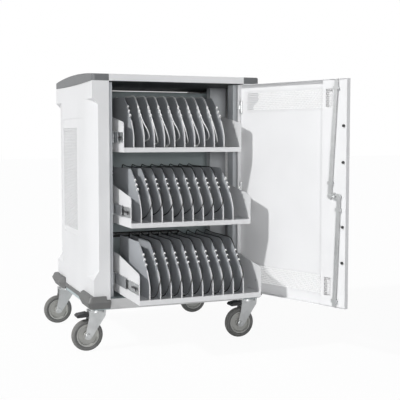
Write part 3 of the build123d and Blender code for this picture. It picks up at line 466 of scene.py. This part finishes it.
def vent_sheets():
    """All perforated sheets: one in each side, with a plain border, and two in each door."""
    low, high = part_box("side_vent_sheets")
    holes_low = Vector((low.x, low.y + PLAIN_FRONT, low.z + PLAIN_FOOT))
    holes_high = Vector((high.x, high.y, high.z - PLAIN_HEAD))
    side_sheet = perforated(holes_high.y - holes_low.y, holes_high.z - holes_low.z)
    for side, face in (("left", low.x), ("right", high.x - VENT_SHEET)):
        sheet = bmesh.new()
        if side == "left":
            upright_sheet(sheet, side_sheet, (face, holes_high.y, holes_low.z), (0, -1, 0), (1, 0, 0))
        else:
            edge = face + VENT_SHEET
            upright_sheet(sheet, side_sheet, (edge, holes_low.y, holes_low.z), (0, 1, 0), (-1, 0, 0))
        bar(sheet, (face, low.y, low.z), (face + VENT_SHEET, holes_low.y, high.z))
        bar(sheet, (face, holes_low.y, low.z), (face + VENT_SHEET, high.y, holes_low.z))
        bar(sheet, (face, holes_low.y, holes_high.z), (face + VENT_SHEET, high.y, high.z))
        made = piece(f"{side}_vent_mesh", sheet, "cabinet", "white_powder_coat", white_coat)
        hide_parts("side_vent_sheets")
    side_sheet.free()

    low, high = shut_box("door_vent_sheets")
    door_sheet = perforated(high.x - low.x, DOOR_SHEET_HEIGHT)
    front = bmesh.new()
    for level in (low.z, high.z - DOOR_SHEET_HEIGHT):
        upright_sheet(front, door_sheet, (low.x, low.y, level), (1, 0, 0), (0, 1, 0))
    bmesh.ops.transform(front, matrix=swing, verts=front.verts)
    made = piece("door_vent_mesh", front, "front_door_leaf", "white_powder_coat", white_coat)
    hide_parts("door_vent_sheets")

    low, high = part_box("rear_door_vents")
    rear = bmesh.new()
    for level in (low.z, high.z - DOOR_SHEET_HEIGHT):
        upright_sheet(rear, door_sheet, (high.x, high.y, level), (-1, 0, 0), (0, -1, 0))
    door_sheet.free()
    made = piece("rear_vent_mesh", rear, "rear_door_leaf", "white_powder_coat", white_coat)
    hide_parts("rear_door_vents")


vent_sheets()


# Charging leads: their points are counted, in millimetres, sideways from the divider's middle,
# back from its front edge and up from the tray's floor.

LEAD_DIAMETER = 0.004
LEADS_ON = {"top": range(1, 9), "middle": range(1, 9), "bottom": range(0, 9)}
LEAD_BODY = [
    (0, 397.25, 50),
    (0, 397.25, 82),
    (2, 400, 128),
    (0, 400.5, 174),
    (-1, 389, 210),
    (0.5, 348, 202),
    (-0.8, 292, 200.9),
    (0.8, 236, 201.7),
    (-0.6, 180, 200.9),
    (0.3, 134, 203),
    (0, 106, 189.5),
    (0, 81, 164),
    (0, 37, 117.5),
]
LEAD_TAILS = {
    "top": [
        [(4, 19, 91), (11, 8, 67), (18, 7, 44), (25, 14, 25), (29, 30, 11), (30, 50, 7)],
        [(3, 20, 90), (7, 9, 66), (13, 10, 43), (21, 21, 26), (27, 40, 17), (29, 62, 15)],
        [(5, 18, 92), (14, 8, 72), (23, 12, 53), (29, 26, 38), (30, 46, 29), (27, 68, 26)],
    ],
    "middle": [
        [(3, 19, 91), (3, 6, 71), (-5, 2, 55), (-13, 8, 39), (-20, 22, 28), (-24, 42, 22)],
        [(2, 19, 91), (1, 5, 70), (-8, 3, 52), (-17, 11, 38), (-23, 27, 29), (-25, 48, 26)],
        [(4, 20, 90), (3, 6, 69), (-6, 1, 53), (-14, 3, 34), (-22, 14, 20), (-27, 33, 14)],
    ],
    "bottom": [
        [
            (3, 19, 91), (2, 5, 70), (-6, 2, 53), (-11, 1, 33),
            (-15, 7, 14), (-25, 20, 5), (-31, 38, 3.4), (-29, 58, 3.4),
        ],
        [
            (2, 19, 91), (0, 4, 69), (-8, 2, 50), (-14, 5, 28),
            (-21, 16, 11), (-28, 33, 4.5), (-28, 54, 3.4), (-20, 73, 3.4),
        ],
        [
            (4, 20, 90), (3, 6, 69), (-6, 1, 52), (-10, 0, 31),
            (-17, 3, 13), (-27, 12, 4.5), (-31, 29, 3.4), (-26, 48, 3.4),
        ],
    ],
}
CLIP_LINE = (Vector((0, 43.2, 124)), Vector((0, 74.8, 157.5)))
CLIP_LENGTH = 0.006
CLIP_HALF = 0.0034
CLIP_BORE = 0.0026
CLIP_SLIT = 0.00085
CLIP_FOOT = 0.007
CLIP_SHOULDER = 0.0012
CLIP_CROWN = 0.0028
CLIP_CROWN_TURNS = range(165, 0, -30)
CLIP_BORE_START = -109
CLIP_BORE_TURN = 322
CLIP_BORE_STEPS = 14
COMB_HEIGHT = 0.014
COMB_HALF = 0.004
COMB_END = 0.009
COMB_TOP_GAP = 0.0002
RING_RADII = (0.0042, 0.0031)
RING_HEIGHT = 0.005
RING_MIDDLE = 0.002
PLUG_NECK_RADII = (0.0024, 0.0026)
PLUG_NECK_LENGTH = 0.007
PLUG_RIB_LEVELS = (0.0014, 0.0034, 0.0054)
PLUG_RIB_HALF = 0.0005
PLUG_RIB_SIDES = (0.0029, 0.0025)
PLUG_BODY_SIDES = (0.0045, 0.0025)
PLUG_BODY_ENDS = (0.0066, 0.017)
PLUG_GRIP_LEVELS = (0.0092, 0.0112, 0.0132)
PLUG_GRIP_HALF = 0.0003
PLUG_GRIP_SIDES = (0.0047, 0.0015)
PLUG_TIP_SIDES = (0.0034, 0.0009)
PLUG_TIP_ENDS = (0.0168, 0.024)


def tray_corner(tray):
    """Middle of the rightmost divider, front edge of the dividers and top of the tray's floor."""
    low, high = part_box(f"{tray}_dividers")
    return Vector((high.x - DIVIDER_FOOT, low.y, low.z))


def lead_curve(name, points, material):
    """A round lead whose line is a NURBS spline steered by the points."""
    curve = bpy.data.curves.new(name, "CURVE")
    curve.dimensions = "3D"
    spline = curve.splines.new("NURBS")
    spline.points.add(len(points) - 1)
    for target, point in zip(spline.points, points):
        target.co = (*point, 1)
    spline.order_u = 3
    spline.use_endpoint_u = True
    curve.resolution_u = 8
    curve.bevel_depth = LEAD_DIAMETER / 2
    curve.bevel_resolution = 2
    curve.use_fill_caps = True
    curve.materials.append(material)
    made = bpy.data.objects.new(name, curve)
    bpy.context.collection.objects.link(made)
    return made


def plug_template():
    """Flat moulded plug along Z: ribbed neck, rounded body with finger grips, metal tip."""
    plug = bmesh.new()
    neck = bmesh.new()
    start, end = PLUG_NECK_RADII
    bmesh.ops.create_cone(
        neck, cap_ends=True, segments=12, radius1=start, radius2=end, depth=PLUG_NECK_LENGTH
    )
    put(plug, neck, Matrix.Translation((0, 0, PLUG_NECK_LENGTH / 2)))
    neck.free()
    for level in PLUG_RIB_LEVELS:
        bar_on_axis(plug, PLUG_RIB_SIDES, (level - PLUG_RIB_HALF, level + PLUG_RIB_HALF), 0.0004)
    bar_on_axis(plug, PLUG_BODY_SIDES, PLUG_BODY_ENDS, 0.0011)
    for level in PLUG_GRIP_LEVELS:
        bar_on_axis(plug, PLUG_GRIP_SIDES, (level - PLUG_GRIP_HALF, level + PLUG_GRIP_HALF), 0.0002)
    bar_on_axis(plug, PLUG_TIP_SIDES, PLUG_TIP_ENDS, 0.0003, material=1)
    return plug


def clip_template():
    """Split block along Z that grips a divider's edge below and holds the lead in its bore."""
    clip = bmesh.new()
    steps = range(CLIP_BORE_STEPS + 1)
    bore_turns = [radians(CLIP_BORE_START - CLIP_BORE_TURN * k / CLIP_BORE_STEPS) for k in steps]
    crown = [radians(turn) for turn in CLIP_CROWN_TURNS]
    outline = [(-CLIP_SLIT, -CLIP_FOOT), (-CLIP_HALF, -CLIP_FOOT), (-CLIP_HALF, CLIP_SHOULDER)]
    outline += [(CLIP_HALF * cos(turn), CLIP_SHOULDER + CLIP_CROWN * sin(turn)) for turn in crown]
    outline += [(CLIP_HALF, CLIP_SHOULDER), (CLIP_HALF, -CLIP_FOOT), (CLIP_SLIT, -CLIP_FOOT)]
    outline += [(CLIP_BORE * cos(turn), CLIP_BORE * sin(turn)) for turn in reversed(bore_turns)]
    corners = [clip.verts.new((x, y, 0)) for x, y in outline]
    face = clip.faces.new(corners)
    grown = bmesh.ops.extrude_face_region(clip, geom=[face])["geom"]
    rise = [item for item in grown if isinstance(item, bmesh.types.BMVert)]
    bmesh.ops.translate(clip, vec=(0, 0, CLIP_LENGTH), verts=rise)
    bmesh.ops.recalc_face_normals(clip, faces=clip.faces)
    return clip


def lead_fittings(tray, corner, body):
    """A tray's clips and rear comb."""
    clip = clip_template()
    along = (CLIP_LINE[1] - CLIP_LINE[0]).normalized()
    outward = Vector((1, 0, 0)).cross(along)
    turn = Matrix((Vector((-1, 0, 0)), outward, along)).transposed().to_4x4()
    clips = bmesh.new()
    for k in range(DIVIDER_COUNT):
        divider = corner - Vector((k * DIVIDER_PITCH, 0, 0))
        for share in (0, 0.5, 1):
            middle = divider + CLIP_LINE[0].lerp(CLIP_LINE[1], share) * MM
            place = Matrix.Translation(middle - along * (CLIP_LENGTH / 2))
            put(clips, clip, place @ turn)
    clip.free()
    clips = piece(f"{tray}_clips", clips, body, "grey_moulding", clip_moulding)
    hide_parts(f"{tray}_leads")

    comb = bmesh.new()
    foot = corner + Vector(LEAD_BODY[0]) * MM
    left = foot.x - (DIVIDER_COUNT - 1) * DIVIDER_PITCH
    low = (left - COMB_END, foot.y - COMB_HALF, foot.z - COMB_HEIGHT)
    high = (foot.x + COMB_END, foot.y + COMB_HALF, foot.z - COMB_TOP_GAP)
    bar(comb, low, high, 0.0012)
    ring = bmesh.new()
    wide, narrow = RING_RADII
    bmesh.ops.create_cone(
        ring, cap_ends=True, segments=14, radius1=wide, radius2=narrow, depth=RING_HEIGHT
    )
    for k in range(DIVIDER_COUNT):
        put(comb, ring, Matrix.Translation(foot + Vector((-k * DIVIDER_PITCH, 0, RING_MIDDLE))))
    ring.free()
    comb = piece(f"{tray}_comb", comb, body, "black_rubber", black_rubber)
    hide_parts(f"{tray}_leads")


def tray_leads(tray):
    """Every lead of a tray with its plug, and what holds them."""
    body = f"{tray}_drawer"
    sheath, slot = (white_sheath, "lead_white") if tray == "top" else (black_sheath, "lead_black")
    corner = tray_corner(tray)
    lead_fittings(tray, corner, body)
    plug_shape = plug_template()
    for k in LEADS_ON[tray]:
        tails = LEAD_TAILS[tray]
        divider = corner - Vector((k * DIVIDER_PITCH, 0, 0))
        points = [divider + Vector(place) * MM for place in LEAD_BODY + tails[k % len(tails)]]
        lead = lead_curve(f"{tray}_lead_{k}", points, sheath)
        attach(lead, body)
        plug = bmesh.new()
        put(plug, plug_shape, facing(points[-1], points[-1] - points[-2]))
        plug = piece(f"{tray}_plug_{k}", plug, body, slot, sheath, zinc)
        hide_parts(f"{tray}_leads")
        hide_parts(f"{tray}_leads")
    plug_shape.free()


# Painted highlight on the dividers: a pale strip up the front of each divider, on its straight and lower
# curved edge, stands in for the light falling on that edge

HIGHLIGHT_STRIP_HALF = 0.0017
HIGHLIGHT_STRIP_STEPS = 9
HIGHLIGHT_STRIP_REACH = 0.40
HIGHLIGHT_STRIP_FRONT = -0.001
HIGHLIGHT_STRIP_BACK = 0.0022
HIGHLIGHT_STRIP_FOOT = 1.0
DIVIDER_RISE = 43.0
DIVIDER_LEAN = (12.0, 42.0)
DIVIDER_BROW = (66.0, 115.0)
DIVIDER_SHOULDER = (135.0, 155.0)


def edge_place(share):
    """Back and up along a divider's curved edge, in millimetres."""
    rest = 1 - share
    lean, brow, end = 3 * rest ** 2 * share, 3 * rest * share ** 2, share ** 3
    back = lean * DIVIDER_LEAN[0] + brow * DIVIDER_BROW[0] + end * DIVIDER_SHOULDER[0]
    up = DIVIDER_RISE + lean * DIVIDER_LEAN[1] + brow * DIVIDER_BROW[1] + end * DIVIDER_SHOULDER[1]
    return back, up


# Builds the pale strips that paint a highlight on each divider's front edge.
def divider_highlight_strips(tray):
    corner = tray_corner(tray)
    curved = [edge_place(HIGHLIGHT_STRIP_REACH * step / HIGHLIGHT_STRIP_STEPS) for step in range(HIGHLIGHT_STRIP_STEPS + 1)]
    places = [(0, HIGHLIGHT_STRIP_FOOT), *curved]
    strip = bmesh.new()
    corners = [(-1, HIGHLIGHT_STRIP_FRONT), (1, HIGHLIGHT_STRIP_FRONT), (1, HIGHLIGHT_STRIP_BACK), (-1, HIGHLIGHT_STRIP_BACK)]
    foot = HIGHLIGHT_STRIP_FOOT * MM
    face = strip.faces.new([strip.verts.new((x * HIGHLIGHT_STRIP_HALF, y, foot)) for x, y in corners])
    for (back, up), (next_back, next_up) in zip(places, places[1:]):
        grown = bmesh.ops.extrude_face_region(strip, geom=[face])["geom"]
        face = next(item for item in grown if isinstance(item, bmesh.types.BMFace))
        rise = Vector((0, next_back - back, next_up - up)) * MM
        bmesh.ops.translate(strip, vec=rise, verts=face.verts)
    bmesh.ops.recalc_face_normals(strip, faces=strip.faces)
    highlight_strips = bmesh.new()
    for k in range(DIVIDER_COUNT):
        put(highlight_strips, strip, Matrix.Translation(corner - Vector((k * DIVIDER_PITCH, 0, 0))))
    strip.free()
    piece(f"{tray}_edging", highlight_strips, f"{tray}_drawer", "grey_moulding", edge_highlight_paint)


for tray in TRAYS:
    divider_highlight_strips(tray)
    tray_leads(tray)


# Screws, latches and nuts

RUNNER_SCREW_RADIUS = 0.0038
RUNNER_SCREW_LEVEL = 0.058
RUNNER_SCREW_PLACES = (0.045, 0.2, 0.36)
TRAY_WALL = 0.0015
LATCH_SUNK = 0.0006
LATCH_PROUD = 0.0003
LATCH_ARM = ((0.022, -0.004), (0.078, 0.003))
LATCH_THUMB_PAD = ((0.018, -0.010), (0.030, 0.002))
HINGE_LEAF = 0.0012
HINGE_SCREW_RADIUS = 0.0028
HINGE_SCREW_PITCH = 0.017
HINGE_SCREW_INSET = 0.0135
HINGE_HALF = 0.025
CAM_NUT_RADIUS = 0.0075
PLATE_SCREW_RADIUS = 0.0042
PLATE_SCREW_INSET = 0.006
AXLE_NUT_RADIUS = 0.0092
AXLE_NUT_HEIGHT = 0.005
AXLE_NUT_EDGE = 0.0007
AXLE_NUT_INSET = 0.0035


def tray_screws(tray):
    """Screws that hold the runners to the tray walls, seen from inside the tray."""
    low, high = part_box(f"{tray}_tray")
    level = low.z + RUNNER_SCREW_LEVEL
    screws = bmesh.new()
    head = screw_template(RUNNER_SCREW_RADIUS)
    for step in RUNNER_SCREW_PLACES:
        put(screws, head, facing((low.x + TRAY_WALL, low.y + step, level), (1, 0, 0)))
        put(screws, head, facing((high.x - TRAY_WALL, low.y + step, level), (-1, 0, 0)))
    head.free()
    piece(f"{tray}_tray_screws", screws, f"{tray}_drawer", "zinc", zinc)


def runner_latches(tray):
    """Black release levers at the front of the runners."""
    low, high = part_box(f"{tray}_slide_inners")
    middle = (low.z + high.z) / 2
    latches = bmesh.new()
    for side, face in ((-1, low.x), (1, high.x)):
        inner, outer = face - side * LATCH_SUNK, face + side * LATCH_PROUD
        left, right = min(inner, outer), max(inner, outer)
        for (start, under), (end, over) in (LATCH_ARM, LATCH_THUMB_PAD):
            near = (left, low.y + start, middle + under)
            far = (right, low.y + end, middle + over)
            bar(latches, near, far, 0.0002)
    piece(f"{tray}_runner_latches", latches, f"{tray}_drawer", "black_plastic", black_moulding)


def hinge_screws():
    """Screws in the fixed hinge leaves of both doors."""
    low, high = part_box("jamb_hinges")
    screws = bmesh.new()
    head = screw_template(HINGE_SCREW_RADIUS)
    for middle in (low.z + HINGE_HALF, (low.z + high.z) / 2, high.z - HINGE_HALF):
        for rise in (-HINGE_SCREW_PITCH, 0, HINGE_SCREW_PITCH):
            for depth in (low.y + HINGE_SCREW_INSET, high.y - HINGE_SCREW_INSET):
                put(screws, head, facing((high.x - HINGE_LEAF, depth, middle + rise), (-1, 0, 0)))
    head.free()
    piece("hinge_screws", screws, "cabinet", "zinc", zinc)


def lock_screws():
    """The cam's nut on its spindle and the handle plate's screws."""
    low, high = shut_box("lock_cam")
    axis = Vector(((low.x + high.x) / 2, high.y, (low.z + high.z) / 2))
    nut = bmesh.new()
    shape = screw_template(CAM_NUT_RADIUS, sides=6)
    put(nut, shape, swing @ facing(axis, (0, 1, 0)))
    shape.free()
    piece("cam_nut", nut, "handle", "zinc", zinc)
    low, high = shut_box("handle_plate")
    plate = bmesh.new()
    head = screw_template(PLATE_SCREW_RADIUS)
    for level in (low.z + PLATE_SCREW_INSET, high.z - PLATE_SCREW_INSET):
        place = Vector(((low.x + high.x) / 2, low.y, level))
        put(plate, head, swing @ facing(place, (0, -1, 0)))
    head.free()
    piece("handle_plate_screws", plate, "front_door_leaf", "zinc", zinc)


def caster_nuts(place):
    """Hexagon nuts on both ends of a caster's axle."""
    low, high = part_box(f"{place}_fork")
    axle = joints[f"{place}_wheel_spin"]["pos_m"]
    nuts = bmesh.new()
    nut = bmesh.new()
    bmesh.ops.create_cone(
        nut,
        cap_ends=True,
        segments=6,
        radius1=AXLE_NUT_RADIUS,
        radius2=AXLE_NUT_RADIUS,
        depth=AXLE_NUT_HEIGHT,
    )
    rims = [edge for edge in nut.edges if abs(edge.verts[0].co.z - edge.verts[1].co.z) < 1e-6]
    bmesh.ops.bevel(
        nut, geom=rims, offset=AXLE_NUT_EDGE, segments=1, profile=0.5, affect="EDGES", material=-1
    )
    half = (high.y - low.y) / 2
    middle = (high.y + low.y) / 2
    for side in (-1, 1):
        depth = middle + side * (half - AXLE_NUT_INSET)
        put(nuts, nut, facing((axle[0], depth, axle[2]), (0, side, 0)))
    nut.free()
    piece(f"{place}_axle_nuts", nuts, f"{place}_swivel", "zinc", zinc)


for tray in TRAYS:
    tray_screws(tray)
    runner_latches(tray)
hinge_screws()
lock_screws()
for place in CASTERS:
    caster_nuts(place)


# Floor, world and lamps

FLOOR_REACH = 30
FLOOR_LEVEL = -0.0005
FLOOR_WHITENESS = 0.95
AMBIENT_COLOUR = (0.93, 0.96, 1.0, 1)
AMBIENT_STRENGTH = 0.24
DARK_PANEL = 0.16
BRIGHT_PANEL = 1.15
PLAIN_WHITE = {"Color": (1, 1, 1, 1), "Strength": 1.0}
KEY_DIRECTION = (0.765, 0.12, -0.56)
FILL_DIRECTION = (0.32, 0.94, -0.04)


def floor():
    bm = bmesh.new()
    bmesh.ops.create_grid(bm, x_segments=1, y_segments=1, size=FLOOR_REACH)
    mesh = bpy.data.meshes.new("floor")
    bm.to_mesh(mesh)
    bm.free()
    made = bpy.data.objects.new("floor", mesh)
    made.location = (0, 0, FLOOR_LEVEL)
    bpy.context.collection.objects.link(made)
    finish = Finish("floor", (0.95, 0.95, 0.95), 0.9)
    shine = finish.node("ShaderNodeEmission", {}, PLAIN_WHITE)
    rays = finish.node("ShaderNodeLightPath", {}, {}, "Is Camera Ray")
    mixed = {0: FLOOR_WHITENESS * rays, 1: Wire(finish, finish.shader.outputs[0]), 2: shine}
    finish.show(finish.node("ShaderNodeMixShader", {}, mixed), "Material Output")
    mesh.materials.append(finish.material)


def reflected_studio(sky, light):
    """Even light for paint, and dark walls between bright panels for what reflects them."""
    direction = sky.node("ShaderNodeTexCoord", {}, {}, "Generated")
    bands = {"wave_type": "BANDS", "bands_direction": "X"}
    shape = {"Vector": direction, "Scale": 0.55, "Distortion": 1.2, "Phase Offset": 0.6, "Detail": 0}
    panels = sky.node("ShaderNodeTexWave", bands, shape, "Fac")
    steps = {
        "Value": panels, "From Min": 0.25, "From Max": 0.75, "To Min": DARK_PANEL, "To Max": BRIGHT_PANEL
    }
    levels = sky.node("ShaderNodeMapRange", {}, steps)
    studio = sky.node("ShaderNodeBackground", {}, {"Color": (1, 1, 1, 1), "Strength": levels})
    glossy = sky.node("ShaderNodeLightPath", {}, {}, "Is Glossy Ray")
    return sky.node("ShaderNodeMixShader", {}, {0: glossy, 1: light, 2: studio})


def surroundings():
    """Faint ambient light, with plain white where the camera or glass looks past the object."""
    world = bpy.data.worlds.new("studio")
    world.use_nodes = True
    bpy.context.scene.world = world
    sky = Network(world.node_tree)
    ambient = {"Color": AMBIENT_COLOUR, "Strength": AMBIENT_STRENGTH}
    light = sky.node("ShaderNodeBackground", {}, ambient)
    plain = sky.node("ShaderNodeBackground", {}, PLAIN_WHITE)
    camera_rays = sky.node("ShaderNodeLightPath", {}, {}, "Is Camera Ray")
    glass_rays = sky.node("ShaderNodeLightPath", {}, {}, "Is Transmission Ray")
    seen = camera_rays.maths("MAXIMUM", camera_rays, glass_rays)
    mixed = {0: seen, 1: reflected_studio(sky, light), 2: plain}
    sky.show(sky.node("ShaderNodeMixShader", {}, mixed), "World Output")


def sun(name, direction, strength, angle):
    lamp = bpy.data.lights.new(name, "SUN")
    lamp.energy = strength
    lamp.angle = radians(angle)
    made = bpy.data.objects.new(name, lamp)
    made.rotation_euler = Vector(direction).to_track_quat("-Z", "Y").to_euler()
    bpy.context.collection.objects.link(made)


floor()
surroundings()
sun("key", KEY_DIRECTION, 2.35, 3)
sun("fill", FILL_DIRECTION, 1.35, 15)
